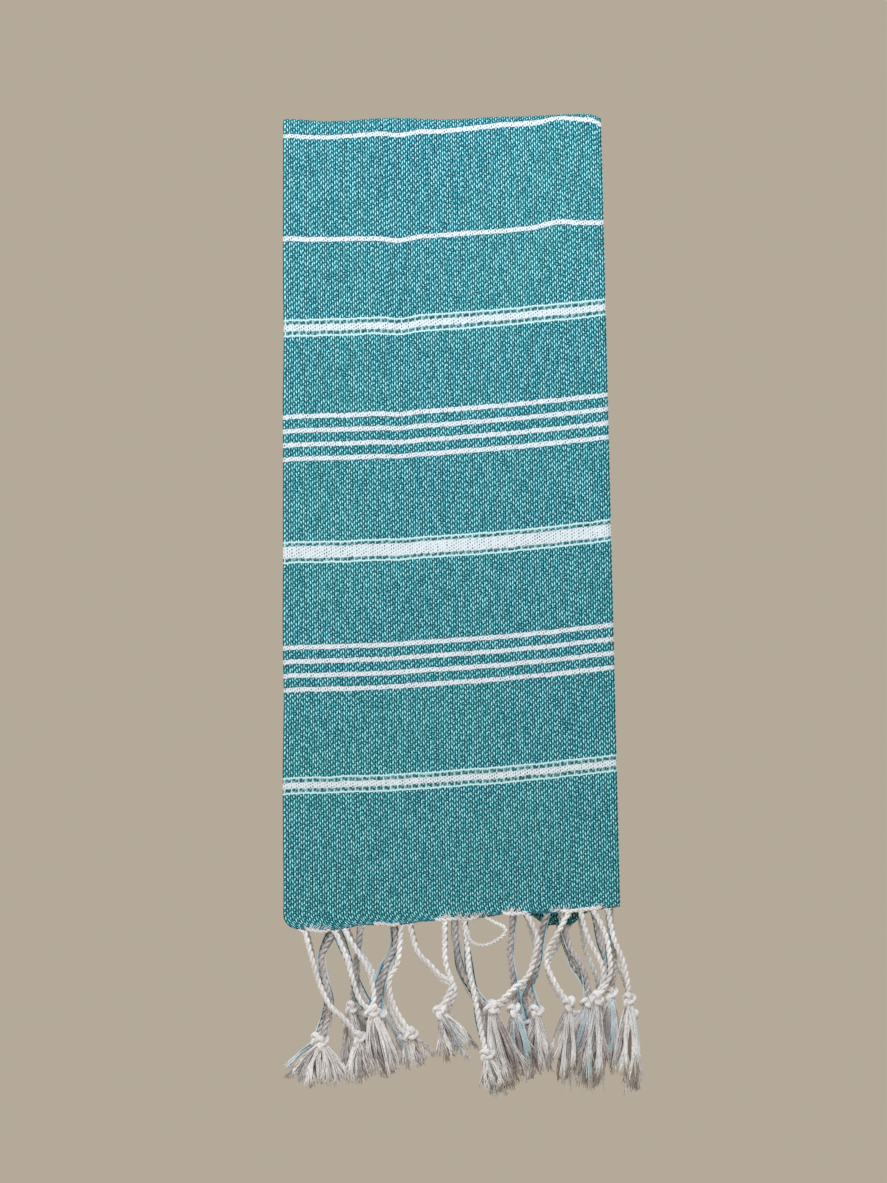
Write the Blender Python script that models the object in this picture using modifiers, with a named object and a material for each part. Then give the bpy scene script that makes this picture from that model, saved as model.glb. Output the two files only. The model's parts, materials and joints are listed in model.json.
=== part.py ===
"""A flat-woven hand towel, folded in half lengthwise and hung over a thin rail, with a knotted
cord fringe along both ends.

Frame: metres, +Z up, the front leaf faces -Y. The origin is the middle of the inside crest of the
top fold, where a rail bears. Each leaf is two layers of cloth, joined along the left side by the
lengthwise fold. The twisted cords of the warp hang from each layer's hem and end in a knot and a
loose brush.
"""

import math

import bmesh
import bpy
import numpy as np
from mathutils import Vector

MM = 0.001

# Cloth
CLOTH = 1.2 * MM  # thickness of one layer
GAP = 0.3 * MM  # clearance between pieces that lie against each other
FOLD_RADIUS = 5.0 * MM  # inside radius of the top fold
TOP_WIDTH = 195.5 * MM  # folded width along the rail
FRONT_LEFT_DROP = 504 * MM  # hem below the crest, at the side fold
FRONT_RIGHT_DROP = 489 * MM  # hem below the crest, at the selvage
REAR_DROP = 501 * MM
FRONT_FLARE = 12 * MM  # how far the selvages lean out towards the hem
REAR_FLARE = 9 * MM
CORNER_RADIUS = 9 * MM  # rounding of the hem at the side fold
HEM_YARN_RADIUS = 0.6 * MM  # gathered end yarn along each hem

# Fringe
CORD_RADIUS = 1.7 * MM
KNOT_RADIUS = 4.2 * MM
BRUSH_NECK = 2.4 * MM  # radius of a brush where it leaves its knot
ROOT_DROP = 1.5 * MM  # start of the cords below the hem line
ROUTE_WIDTH = 195.5 * MM  # folded width that the tassel routes below are drawn for

FOLD_STEPS = 12
ARC_STEPS = 5
ROUND_SIDES = 8
CORD_STEPS = 4

# Tassels, in millimetres: (across from the middle, down from the hem). "cords" are the routes of the
# twisted cords, "knot" their knot, "tip" the middle of the brush's end and "half" half its width.
OUTER_TASSELS = [
    {
        "cords": [[(-86, 0), (-81, 20), (-77, 34), (-70, 49), (-61, 58)]],
        "knot": (-52, 70),
        "tip": (-50, 96),
        "half": 6,
    },
    {
        "cords": [
            [(-61, 0), (-57, 10), (-51, 20), (-46, 30), (-43, 43)],
            [(-67, 0), (-60, 20), (-52, 46)],
        ],
        "knot": (-44, 54),
        "tip": (-34, 92),
        "half": 6,
    },
    {
        "cords": [[(-26, 0), (-28, 24), (-33, 34), (-33, 43), (-29, 55)]],
        "knot": (-20, 70),
        "tip": (-14, 88),
        "half": 6,
    },
    {
        "cords": [
            [(1, 0), (1, 23), (3, 33), (6, 41), (3, 49)],
            [(-21, 0), (-16, 19), (-9, 27), (-2, 35), (5, 41)],
        ],
        "knot": (-2, 57),
        "tip": (8, 83),
        "half": 7,
    },
    {
        "cords": [[(13, 0), (15, 18), (16, 33), (19, 47), (24, 74)]],
        "knot": (27, 86),
        "tip": (31, 105),
        "half": 5,
    },
    {
        "cords": [[(52, 0), (57, 12), (58, 20), (53, 38), (45, 45), (36, 53)]],
        "knot": (30, 57),
        "tip": (43, 102),
        "half": 6,
    },
    {
        "cords": [[(78, 0), (70, 15), (65, 23), (64, 32), (68, 42), (73, 51)]],
        "knot": (78, 58),
        "tip": (74, 100),
        "half": 6,
    },
    {
        "cords": [
            [(85, 0), (89, 16), (93, 25), (98, 35), (99, 45)],
            [(93, 0), (98, 11), (102, 23), (103, 42)],
        ],
        "knot": (95, 56),
        "tip": (93, 102),
        "half": 7,
    },
    {
        "cords": [[(102, 0), (105.5, 19), (111, 33), (114, 46)]],
        "knot": (115, 58),
        "tip": (113, 104),
        "half": 5,
    },
]
INNER_TASSELS = [
    {
        "cords": [[(-67, 0), (-75, 17), (-75, 27), (-72, 38), (-70, 50), (-73, 63)]],
        "knot": (-75, 72),
        "tip": (-78, 97),
        "half": 12,
    },
    {
        "cords": [[(-51, 0), (-54, 22), (-56, 40)]],
        "knot": (-57, 52),
        "tip": (-54, 92),
        "half": 5,
    },
    {
        "cords": [[(-30, 0), (-30, 16), (-35, 26), (-38, 37), (-40, 48)]],
        "knot": (-40, 57),
        "tip": (-37, 90),
        "half": 6,
    },
    {
        "cords": [[(7, 0), (9, 24), (14, 38), (22, 51)]],
        "knot": (29, 58),
        "tip": (35, 98),
        "half": 5,
    },
    {
        "cords": [[(43, 0), (42, 16), (41, 22), (42, 31), (44, 48)]],
        "knot": (44, 60),
        "tip": (49, 92),
        "half": 5,
    },
    {
        "cords": [[(64, 0), (60, 17), (59, 30), (56, 38), (53, 45), (55, 53)]],
        "knot": (58, 62),
        "tip": (61, 95),
        "half": 4,
    },
    {
        "cords": [[(73, 0), (79, 24), (84, 32), (89, 44)]],
        "knot": (90, 58),
        "tip": (84, 98),
        "half": 6,
    },
    {
        "cords": [[(103, 0), (106, 25), (106, 42)]],
        "knot": (104, 54),
        "tip": (103, 100),
        "half": 6,
    },
]

LEFT = -TOP_WIDTH / 2
TOP_RIGHT = TOP_WIDTH / 2
FOLD_CENTRE_Z = -FOLD_RADIUS
INNER_Y = FOLD_RADIUS + CLOTH / 2  # middle of the layer next to the rail
OUTER_Y = INNER_Y + CLOTH + GAP  # middle of the layer outside it
LEAF_OUTSIDE = OUTER_Y + CLOTH / 2
PANEL_TOP = FOLD_CENTRE_Z - GAP
OUTER_ROW_Y = LEAF_OUTSIDE + GAP + CORD_RADIUS  # middle of the tassels in front of the outer hem
INNER_ROW_Y = FOLD_RADIUS - GAP - CORD_RADIUS  # middle of those inside the inner hem
# Half of a row's depth: it fills the room between the leaves, and stays clear of its neighbour row.
ROW_HALF = min(INNER_ROW_Y - GAP, (OUTER_ROW_Y - INNER_ROW_Y - GAP) / 2)


def clear_scene():
    """Removes what the start-up file holds."""
    for thing in list(bpy.data.objects):
        bpy.data.objects.remove(thing, do_unlink=True)


def new_collection(name):
    """A collection in the scene."""
    made = bpy.data.collections.new(name)
    bpy.context.scene.collection.children.link(made)
    return made


def finish(name, colour, roughness):
    """A plain cotton finish."""
    made = bpy.data.materials.new(name)
    made.use_nodes = True
    shader = made.node_tree.nodes["Principled BSDF"]
    shader.inputs["Base Color"].default_value = (*colour, 1.0)
    shader.inputs["Roughness"].default_value = roughness
    shader.inputs["Metallic"].default_value = 0.0
    return made


clear_scene()
towel = new_collection("hand_towel")
cutters = new_collection("cutters")
cloth_finish = finish("teal_flat_weave", (0.04, 0.22, 0.26), 0.9)
cord_finish = finish("undyed_cotton_cord", (0.62, 0.58, 0.54), 0.95)


def add_object(name, data, material, collection):
    """An object with one material in one collection."""
    made = bpy.data.objects.new(name, data)
    made.data.materials.append(material)
    collection.objects.link(made)
    return made


def hem_ends(side):
    """The two ends of a side's hem line, as (x, z) of the side fold's and of the selvage's end."""
    if side == "front":
        return (LEFT, -FRONT_LEFT_DROP), (TOP_RIGHT + FRONT_FLARE, -FRONT_RIGHT_DROP)
    return (LEFT, -REAR_DROP), (TOP_RIGHT + REAR_FLARE, -REAR_DROP)


def hem_z(side, x):
    """Height of the hem line at x."""
    (x0, z0), (x1, z1) = hem_ends(side)
    return z0 + (z1 - z0) * (x - x0) / (x1 - x0)


def layer_y(side, layer):
    """The middle of a layer: the front is at -Y."""
    sign = -1 if side == "front" else 1
    return sign * (INNER_Y if layer == "inner" else OUTER_Y)


def add_panel(side, layer):
    """One layer of a leaf: a flat outline with a rounded corner at the side fold."""
    (x0, z0), (x1, z1) = hem_ends(side)
    outline = [(x0, PANEL_TOP), (TOP_RIGHT, PANEL_TOP), (x1, z1)]
    centre_x = x0 + CORNER_RADIUS
    centre_z = hem_z(side, centre_x) + CORNER_RADIUS
    for step in range(ARC_STEPS + 1):
        turn = math.radians(270 - 90 * step / ARC_STEPS)
        outline.append((centre_x + CORNER_RADIUS * math.cos(turn), centre_z + CORNER_RADIUS * math.sin(turn)))
    shape = bpy.data.curves.new(f"{side}_{layer}_panel", "CURVE")
    shape.dimensions = "2D"
    shape.fill_mode = "BOTH"
    shape.extrude = CLOTH / 2
    spline = shape.splines.new("POLY")
    spline.points.add(len(outline) - 1)
    for point, (x, z) in zip(spline.points, outline):
        point.co = (x, z, 0, 1)
    spline.use_cyclic_u = True
    panel = add_object(f"{side}_{layer}_panel", shape, cloth_finish, towel)
    panel.location = (0, layer_y(side, layer), 0)
    panel.rotation_euler = (math.radians(90), 0, 0)
    return panel


def tube_curve(name, points, radius):
    """A round tube along points, with filled ends."""
    shape = bpy.data.curves.new(name, "CURVE")
    shape.dimensions = "3D"
    shape.bevel_depth = radius
    shape.bevel_resolution = 2
    shape.use_fill_caps = True
    spline = shape.splines.new("POLY")
    spline.points.add(len(points) - 1)
    for point, place in zip(spline.points, points):
        point.co = (*place, 1)
    return shape


def add_side_fold(side):
    """The bead where the two layers of a leaf turn into each other along the left side."""
    bead = CLOTH + GAP / 2
    x = LEFT - GAP - bead
    y = (layer_y(side, "inner") + layer_y(side, "outer")) / 2
    foot = hem_z(side, LEFT) + 2 * CORNER_RADIUS
    ends = [(x, y, foot), (x, y, PANEL_TOP)]
    return add_object(f"{side}_side_fold", tube_curve(f"{side}_side_fold", ends, bead), cloth_finish, towel)


def add_top_fold(layer):
    """A half-round layer of cloth over the rail: a line turned half round, then thickened."""
    radius = INNER_Y if layer == "inner" else OUTER_Y
    mesh = bpy.data.meshes.new(f"top_fold_{layer}")
    shape = bmesh.new()
    ends = [shape.verts.new((x, -radius, 0)) for x in (LEFT, TOP_RIGHT)]
    line = shape.edges.new(ends)
    bmesh.ops.spin(
        shape,
        geom=[*ends, line],
        cent=(0, 0, 0),
        axis=(-1, 0, 0),
        angle=math.pi,
        steps=FOLD_STEPS,
    )
    shape.to_mesh(mesh)
    shape.free()
    fold = add_object(f"top_fold_{layer}", mesh, cloth_finish, towel)
    fold.location = (0, 0, FOLD_CENTRE_Z)
    wall = fold.modifiers.new("wall", "SOLIDIFY")
    wall.thickness = CLOTH
    wall.offset = 0
    return fold


def add_hem_yarn(side, layer):
    """The gathered end yarn that closes a layer's hem and carries its cords."""
    (x0, _), (x1, _) = hem_ends(side)
    drop = GAP + HEM_YARN_RADIUS
    x0 += CORNER_RADIUS
    ends = [(x, layer_y(side, layer), hem_z(side, x) - drop) for x in (x0, x1)]
    name = f"{side}_{layer}_hem_yarn"
    return add_object(name, tube_curve(name, ends, HEM_YARN_RADIUS), cord_finish, towel)


def smooth_route(points, steps):
    """Points along a Catmull-Rom curve through the route's own points."""
    knots = np.array([points[0], *points, points[-1]], dtype=float)
    spans = len(points) - 1
    route = []
    for step in range(steps + 1):
        place = min(step / steps * spans, spans - 1e-9)
        first = int(place)
        t = place - first
        p0, p1, p2, p3 = knots[first : first + 4]
        route.append(
            0.5
            * (
                2 * p1
                + (p2 - p0) * t
                + (2 * p0 - 5 * p1 + 4 * p2 - p3) * t**2
                + (3 * p1 - p0 - 3 * p2 + p3) * t**3
            )
        )
    return route


def row_y(side, layer):
    """The middle of a row of tassels: in front of the outer hem, or inside the inner one."""
    sign = -1 if side == "front" else 1
    return sign * (OUTER_ROW_Y if layer == "outer" else INNER_ROW_Y)


def place_on_hem(side, point):
    """Turns a route's point into (x, z) under the hem."""
    x = point[0] * MM * TOP_WIDTH / ROUTE_WIDTH
    return x, hem_z(side, x) - point[1] * MM


def flatten(mesh):
    """Presses a mesh into the depth of its row, without flat spots."""
    for vertex in mesh.vertices:
        vertex.co.y = ROW_HALF * math.tanh(vertex.co.y / ROW_HALF)


def cord_mesh(name, route, side, knot):
    """A cord from the hem to its knot, as a closed mesh with welded ends."""
    start, rest = route[0], route[1:]
    placed = [place_on_hem(side, (start[0], ROOT_DROP / MM))]
    placed += [place_on_hem(side, point) for point in rest]
    placed.append(place_on_hem(side, knot))
    points = [(x, 0, z) for x, z in smooth_route(placed, CORD_STEPS + len(rest))]
    shape = tube_curve(name, points, CORD_RADIUS)
    guide = add_object(name, shape, cord_finish, cutters)
    bpy.context.view_layer.update()
    evaluated = guide.evaluated_get(bpy.context.evaluated_depsgraph_get())
    mesh = bpy.data.meshes.new_from_object(evaluated)
    bpy.data.objects.remove(guide, do_unlink=True)
    welded = bmesh.new()
    welded.from_mesh(mesh)
    bmesh.ops.remove_doubles(welded, verts=welded.verts, dist=0.01 * MM)
    welded.to_mesh(mesh)
    welded.free()
    return mesh


def knot_mesh(name, side, knot):
    """A knot as a small flattened ball."""
    x, z = place_on_hem(side, knot)
    mesh = bpy.data.meshes.new(name)
    shape = bmesh.new()
    bmesh.ops.create_uvsphere(shape, u_segments=ROUND_SIDES, v_segments=6, radius=KNOT_RADIUS)
    shape.to_mesh(mesh)
    shape.free()
    flatten(mesh)
    for vertex in mesh.vertices:
        vertex.co += Vector((x, 0, z))
    return mesh


def brush_mesh(name, side, knot, tip, half):
    """The loose yarns under a knot as a flattened cone."""
    x0, z0 = place_on_hem(side, knot)
    x1, z1 = place_on_hem(side, tip)
    line = Vector((x1 - x0, 0, z1 - z0))
    mesh = bpy.data.meshes.new(name)
    shape = bmesh.new()
    bmesh.ops.create_cone(
        shape,
        cap_ends=True,
        segments=ROUND_SIDES + 2,
        radius1=BRUSH_NECK,
        radius2=half * MM,
        depth=line.length,
    )
    turn = Vector((0, 0, 1)).rotation_difference(line).to_matrix().to_4x4()
    bmesh.ops.transform(shape, matrix=turn, verts=shape.verts)
    shape.to_mesh(mesh)
    shape.free()
    flatten(mesh)
    for vertex in mesh.vertices:
        vertex.co += Vector(((x0 + x1) / 2, 0, (z0 + z1) / 2))
    return mesh


def hinge_point(side):
    """A point on the line that a side's bunches of tassels swing about: the hem's middle."""
    (x0, z0), (x1, z1) = hem_ends(side)
    y = (layer_y(side, "inner") + layer_y(side, "outer")) / 2
    return Vector(((x0 + x1) / 2, y, (z0 + z1) / 2))


def join(target, mesh, pivot, offset):
    """Unites a mesh with the target."""
    for vertex in mesh.vertices:
        vertex.co += offset
    tool = add_object(f"{target.name}_{len(target.modifiers)}", mesh, cord_finish, cutters)
    tool.parent = pivot
    tool.hide_render = True
    tool.display_type = "WIRE"
    union = target.modifiers.new("union", "BOOLEAN")
    union.operation = "UNION"
    union.object = tool


def add_tassel(side, layer, number, tassel, pivot):
    """One tassel: its cords, knot and brush as one solid, which turns about the hem."""
    name = f"{side}_{layer}_tassel_{number}"
    offset = Vector((0, row_y(side, layer), 0)) - pivot.location
    body = knot_mesh(name, side, tassel["knot"])
    for vertex in body.vertices:
        vertex.co += offset
    made = add_object(name, body, cord_finish, towel)
    made.parent = pivot
    brush = brush_mesh(f"{name}_brush", side, tassel["knot"], tassel["tip"], tassel["half"])
    join(made, brush, pivot, offset)
    for route in tassel["cords"]:
        join(made, cord_mesh(f"{name}_cord", route, side, tassel["knot"]), pivot, offset)
    return made


def add_fringe(side):
    """Both rows of one side's tassels, on an empty that lies on their swing axis."""
    pivot = bpy.data.objects.new(f"{side}_fringe_axis", None)
    towel.objects.link(pivot)
    pivot.location = hinge_point(side)
    for layer, tassels in (("outer", OUTER_TASSELS), ("inner", INNER_TASSELS)):
        for number, tassel in enumerate(tassels, start=1):
            add_tassel(side, layer, number, tassel, pivot)


for fold_layer in ("inner", "outer"):
    add_top_fold(fold_layer)
for leaf in ("front", "rear"):
    add_side_fold(leaf)
    for leaf_layer in ("inner", "outer"):
        add_panel(leaf, leaf_layer)
        add_hem_yarn(leaf, leaf_layer)
    add_fringe(leaf)
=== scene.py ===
# %% [markdown]
# # A flat-woven hand towel with a knotted fringe
# The towel is one piece of teal cotton cloth, folded in half along its length and hung in half over a
# thin rail. White weft stripes cross it, and its undyed warp is twisted into cords at both hems. Each
# cord ends in a knot and a loose brush. The fixed frame gives every place and size, so the first step
# is to load it.

# %% Load the frame
import json
import math
import random

import bmesh
import bpy
import numpy as np
from mathutils import Matrix, Vector, noise


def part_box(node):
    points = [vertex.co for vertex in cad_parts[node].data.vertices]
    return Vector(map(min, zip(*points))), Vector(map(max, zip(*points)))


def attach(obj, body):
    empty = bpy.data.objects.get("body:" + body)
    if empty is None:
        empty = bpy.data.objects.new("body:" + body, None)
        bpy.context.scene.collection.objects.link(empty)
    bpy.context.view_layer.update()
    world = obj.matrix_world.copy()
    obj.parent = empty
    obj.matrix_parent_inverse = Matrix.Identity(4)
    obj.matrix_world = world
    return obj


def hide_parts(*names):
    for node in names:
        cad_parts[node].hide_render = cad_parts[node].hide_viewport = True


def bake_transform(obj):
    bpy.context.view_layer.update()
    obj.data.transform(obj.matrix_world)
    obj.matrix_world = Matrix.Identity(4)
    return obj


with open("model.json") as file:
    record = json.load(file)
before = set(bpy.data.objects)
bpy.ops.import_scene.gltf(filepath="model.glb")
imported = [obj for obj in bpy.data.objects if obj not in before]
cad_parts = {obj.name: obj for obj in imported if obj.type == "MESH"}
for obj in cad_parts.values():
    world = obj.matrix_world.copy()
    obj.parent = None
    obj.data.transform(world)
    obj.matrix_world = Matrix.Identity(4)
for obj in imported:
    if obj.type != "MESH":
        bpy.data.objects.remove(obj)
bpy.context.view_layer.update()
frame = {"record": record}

# %% [markdown]
# ## Sizes from the frame
# The frame's slabs stand in for the four layers of cloth. Their boxes say where the layers lie, where the
# side fold is, and where the two hems run: the front hem climbs towards the selvages, because the towel
# was hung a little askew, and the rear hem is level.

# %% Places and sizes
MM = 0.001
fold_low, fold_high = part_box("top_fold_outer")
LEFT, TOP_RIGHT = fold_low.x, fold_high.x
FOLD_Z = fold_low.z
SIDES = ("front", "rear")
LAYERS = ("outer", "inner")
OUTWARD = {"front": -1, "rear": 1}


def middle_y(node_name):
    """The middle of a frame node, front to back."""
    low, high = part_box(node_name)
    return (low.y + high.y) / 2


def hem_ends(side):
    """The hem line's two ends, at the side fold and at the selvages, as (x, z)."""
    low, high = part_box(f"{side}_outer_panel")
    yarn_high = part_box(f"{side}_outer_hem_yarn")[1]
    yarn_gap = 0.3 * MM
    return (low.x, low.z), (high.x, yarn_high.z + yarn_gap)


HEM = {side: hem_ends(side) for side in SIDES}
LAYER_Y = {(side, layer): middle_y(f"{side}_{layer}_panel") for side in SIDES for layer in LAYERS}
ROW_Y = {(side, layer): middle_y(f"{side}_{layer}_tassel_3") for side in SIDES for layer in LAYERS}
LEAF_RADIUS = (LAYER_Y["rear", "outer"] + LAYER_Y["rear", "inner"]) / 2
LAYER_STEP = (LAYER_Y["rear", "outer"] - LAYER_Y["rear", "inner"]) / 2


def hem_z(side, x):
    """Height of a hem at x."""
    (x0, z0), (x1, z1) = HEM[side]
    return z0 + (z1 - z0) * (x - x0) / (x1 - x0)


print("hems", {side: [tuple(round(v, 4) for v in end) for end in HEM[side]] for side in SIDES})

# %% [markdown]
# ## The camera
# The towel is seen straight on from its front, with a long lens, so its sides stay parallel. The camera
# is made before the pieces, so that every later choice of detail can be judged in its view.

# %% Camera
VIEW_HEIGHT = 735 * MM
VIEW_DISTANCE = 2.6
VIEW_CENTRE = Vector((0.0002, 0, -0.294))
SENSOR = 36.0

camera = bpy.data.objects.new("camera", bpy.data.cameras.new("camera"))
camera.data.sensor_width = SENSOR
camera.data.lens = SENSOR * VIEW_DISTANCE / VIEW_HEIGHT
camera.location = VIEW_CENTRE + Vector((0, -VIEW_DISTANCE, 0))
camera.rotation_euler = (math.radians(90), 0, 0)
camera.data.clip_end = 20
bpy.context.collection.objects.link(camera)
bpy.context.scene.camera = camera
bpy.context.scene.view_settings.view_transform = "Standard"
print("lens", round(camera.data.lens, 1), "mm")

# %% [markdown]
# ## Helpers for materials
# Colours are written as the hex values a colour picker shows, and turned to linear light once. One
# function adds a shader node: it sets the node's options, then fills or links its inputs. Four short
# ones build on it: a maths node, a linear and a smooth change of range, and a mix of two colours.


# %% Material helpers
def colour(hex_value):
    """An sRGB hex colour as linear light with alpha."""
    parts = [int(hex_value[place : place + 2], 16) / 255 for place in (1, 3, 5)]
    return (*[c / 12.92 if c <= 0.04045 else ((c + 0.055) / 1.055) ** 2.4 for c in parts], 1.0)


def fill(tree, node, inputs):
    """Sets a node's inputs, each to a value or by a link from an output."""
    for place, value in inputs.items():
        if isinstance(value, bpy.types.NodeSocket):
            tree.links.new(value, node.inputs[place])
        else:
            node.inputs[place].default_value = value


def add(tree, kind, options=None, inputs=None):
    """Adds a shader node with its options and its inputs."""
    made = tree.nodes.new("ShaderNode" + kind)
    for name, value in (options or {}).items():
        setattr(made, name, value)
    fill(tree, made, inputs or {})
    return made


def maths(tree, operation, *values):
    """The result of a maths node."""
    return add(tree, "Math", {"operation": operation}, dict(enumerate(values))).outputs[0]


def remap(tree, value, target, source=(0.0, 1.0)):
    """A value moved from one range to another, and held at its ends."""
    ends = {0: value, 1: source[0], 2: source[1], 3: target[0], 4: target[1]}
    return add(tree, "MapRange", None, ends).outputs[0]


def fade(tree, value, ends):
    """0 where a value is at the first end, 1 where it is at the second, and smooth between them."""
    inputs = {0: value, 1: ends[0], 2: ends[1]}
    return add(tree, "MapRange", {"interpolation_type": "SMOOTHSTEP"}, inputs).outputs[0]


def mixed(tree, share, *ends):
    """A colour between two others, each a hex colour or an output."""
    first, second = [colour(end) if isinstance(end, str) else end for end in ends]
    return add(tree, "Mix", {"data_type": "RGBA"}, {0: share, 6: first, 7: second}).outputs[2]


def new_material(name):
    """A material with its node tree and its Principled shader."""
    made = bpy.data.materials.new(name)
    made.use_nodes = True
    return made, made.node_tree, made.node_tree.nodes["Principled BSDF"]


print("mid grey is", round(colour("#808080")[0], 3), "in linear light")


# %% [markdown]
# ## The flat weave
# The cloth is a cotton double weave: a teal ground with pale threads that float over it as small slanted
# flecks. The flecks stand in columns, each a third of a step further on than the last and leaning the
# other way. The white stripes are bands of white weft, some with a thin line on each side. All of it is
# drawn on the cloth's own UV map, which holds metres along and across the flat towel, so a fleck keeps
# its real size wherever the cloth bends.

# %% Weave sizes
CUT_WIDTH = 0.400
CUT_LENGTH = 1.000
COLUMN = 1.41 * MM
COLUMN_LAG = 1 / 3
LAG_CHANCE = 0.26
FLECK_STEP = 3.2 * MM
DOT_STEP = 2.1 * MM
DASH_COLUMNS = 3
STRIPE_EDGE = 0.22 * MM
WANDER = (-0.5 * MM, 0.5 * MM)
# Stripes as (middle, half width) in millimetres from the nearer hem.
LINE_HALF = 1.75
LINE_STEP = 8.75
PLAIN_LINES = [(426.0, LINE_HALF), (491.0, LINE_HALF)]
PLAIN_LINES += [
    (group + step * LINE_STEP, LINE_HALF) for group in (161.5, 304.5) for step in (-1.5, -0.5, 0.5, 1.5)
]
# Bands as (middle, half band, distance of their thin lines), the same way.
BANDS = [(89.0, 2.2, 4.8), (233.5, 4.1, 6.3), (372.5, 2.4, 4.9)]
THIN_HALF = 0.85
print("each leaf has", len(PLAIN_LINES), "plain lines and", len(BANDS), "bands")

# %% [markdown]
# ## Places in the weave
# Every point of the cloth has a distance from its nearer hem, a column, and a cell of that column. The
# number of a column or a cell gives it its own chances, which stay the same on each run.

# %% Columns and cells
weave, tree, shader = new_material("flat_woven_cotton")
uv = add(tree, "UVMap", {"uv_map": "Weave"}).outputs[0]
place = add(tree, "SeparateXYZ", None, {0: uv})
across, along = place.outputs[0], place.outputs[1]

# Distance from the nearer hem, with the thread's small wander.
wander = add(tree, "TexNoise", {"noise_dimensions": "2D"}, {"Vector": uv, "Scale": 120.0, "Detail": 2.0})
from_hem = maths(tree, "MINIMUM", along, maths(tree, "SUBTRACT", CUT_LENGTH, along))
from_hem = maths(tree, "ADD", from_hem, remap(tree, wander.outputs[0], WANDER))

# Columns of flecks: each starts a third of a step further on, give or take a little.
column = maths(tree, "MULTIPLY_ADD", across, 1 / COLUMN, 0.5)
column_number = maths(tree, "FLOOR", column)
in_column = maths(tree, "SUBTRACT", maths(tree, "FRACT", column), 0.5)
column_chance = add(tree, "TexWhiteNoise", {"noise_dimensions": "1D"}, {"W": column_number}).outputs[0]
start = maths(tree, "MULTIPLY", column_number, COLUMN_LAG)
start = maths(tree, "MULTIPLY_ADD", column_chance, LAG_CHANCE, start)
row = maths(tree, "ADD", maths(tree, "DIVIDE", along, FLECK_STEP), start)
in_row = maths(tree, "SUBTRACT", maths(tree, "FRACT", row), 0.5)


def cell_chances(row_number):
    """A white noise node that gives each cell of each column its own values."""
    cell = add(tree, "CombineXYZ", None, {0: column_number, 1: row_number}).outputs[0]
    return add(tree, "TexWhiteNoise", {"noise_dimensions": "2D"}, {"Vector": cell})


cell = cell_chances(maths(tree, "FLOOR", row))
chances = add(tree, "SeparateXYZ", None, {0: cell.outputs["Color"]}).outputs
print("columns across the flat cloth:", round(CUT_WIDTH / COLUMN))

# %% [markdown]
# ## Flecks
# A fleck fills the middle of its cell. Neighbouring columns lean opposite ways, and each cell has its own
# slant, length and brightness. Between two flecks the teal thread floats, and round both the weave is
# in its own shadow. Sideways sizes are shares of a column, and lengths are shares of a step.

# %% Fleck shapes
LEAN = (-0.66, 0.06)
LEAN_CHANCE = 0.42
ASIDE = (-0.09, 0.09)
FLECK_HALF = (0.20, 0.33)
FLECK_SIDE = (0.33, 0.19)
FLECK_TIP = (-0.04, 0.06)
FLECK_BRIGHT = (0.55, 1.0)
FLOAT_END = (0.32, 0.38)
FLOAT_SIDE = (0.46, 0.30)
# Flecks that cross a stripe's edge make it ragged.
RAGGED = (-0.40 * MM, 0.50 * MM)

odd = maths(tree, "FLOORED_MODULO", column_number, 2.0)
slant = maths(tree, "MULTIPLY_ADD", chances[0], LEAN_CHANCE, remap(tree, odd, LEAN))
aside = maths(tree, "ADD", remap(tree, chances[1], ASIDE), in_column)
side_way = maths(tree, "ABSOLUTE", maths(tree, "MULTIPLY_ADD", slant, in_row, aside))
up_way = maths(tree, "ABSOLUTE", in_row)
long_left = maths(tree, "SUBTRACT", remap(tree, chances[1], FLECK_HALF), up_way)
fleck = maths(tree, "MULTIPLY", fade(tree, side_way, FLECK_SIDE), fade(tree, long_left, FLECK_TIP))
fleck = maths(tree, "MULTIPLY", fleck, remap(tree, chances[2], FLECK_BRIGHT))
teal_float = maths(tree, "MULTIPLY", fade(tree, side_way, FLOAT_SIDE), fade(tree, up_way, FLOAT_END))
ragged = remap(tree, fleck, RAGGED)
print("a fleck is up to", round(2 * FLECK_HALF[1] * FLECK_STEP / MM, 1), "mm long")

# %% [markdown]
# ## Stripes, dots and dashes
# A stripe is a mask on the distance from the hem. Small dark dots, some strong and some faint, show where
# the ground's warp crosses a white stripe. Between a band and its thin lines run dark dashes three
# columns long, with a pale tick between two dashes.

# %% Stripe masks
DOT_UP = (0.34, 0.20)
DOT_SIDE = (0.34, 0.18)
DOT_STRENGTH = (0.15, 1.0)
TICK = (0.11, 0.04)
TICK_STRENGTH = (0.6, 1.0)
KNOT_SIDE = (0.15, 0.45)


def stripe_mask(middle, half):
    """A mask that is 1 on a stripe, from distances in millimetres from the hem."""
    off = maths(tree, "ABSOLUTE", maths(tree, "SUBTRACT", from_hem, middle * MM))
    off = maths(tree, "SUBTRACT", off, ragged)
    return fade(tree, off, (half * MM + STRIPE_EDGE, half * MM - STRIPE_EDGE))


def together(masks):
    """The largest of several masks."""
    total = masks[0]
    for mask in masks[1:]:
        total = maths(tree, "MAXIMUM", total, mask)
    return total


solid = [stripe_mask(middle, half) for middle, half in PLAIN_LINES]
solid += [stripe_mask(middle, half) for middle, half, _ in BANDS]
white = together(solid)
thin = together([stripe_mask(middle + way * far, THIN_HALF) for middle, _, far in BANDS for way in (-1, 1)])
gaps = together([stripe_mask(middle, far) for middle, _, far in BANDS])

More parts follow.
